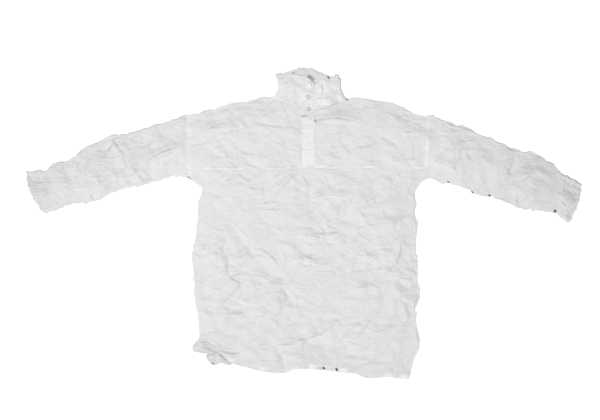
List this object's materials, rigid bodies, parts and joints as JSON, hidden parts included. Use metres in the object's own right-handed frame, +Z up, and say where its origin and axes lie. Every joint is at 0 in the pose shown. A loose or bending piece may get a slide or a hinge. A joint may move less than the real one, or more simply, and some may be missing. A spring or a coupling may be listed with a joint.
{
  "type": "crumpled shirt",
  "caption": "Crumpled white pull-over shirt with a tall buttoned collar, a half placket and long cuffed sleeves, laid flat on its back.",
  "frame": {"origin": "centre of the bounding box in X and Y, on the face that lies on the surface", "axes": "+X to the viewer's right, from sleeve to sleeve; +Y from the hem to the collar; +Z up, off the surface, towards the wearer's front"},
  "size_m": [1.5607, 0.87, 0.0202],
  "materials": {
    "cotton": "matt white cotton, crumpled",
    "cotton_double": "matt white cotton, doubled and stiffer",
    "pearl": "pearly, off-white"
  },
  "bodies": {
    "root": {"back": "cotton", "chest_left": "cotton", "chest_right": "cotton", "lower_front": "cotton", "placket": "cotton_double", "sleeve_left": "cotton", "sleeve_right": "cotton", "cuff_left": "cotton", "cuff_right": "cotton", "collar": "cotton_double", "button_top": "pearl", "button_middle": "pearl", "button_neck": "pearl"}
  },
  "joints": []
}
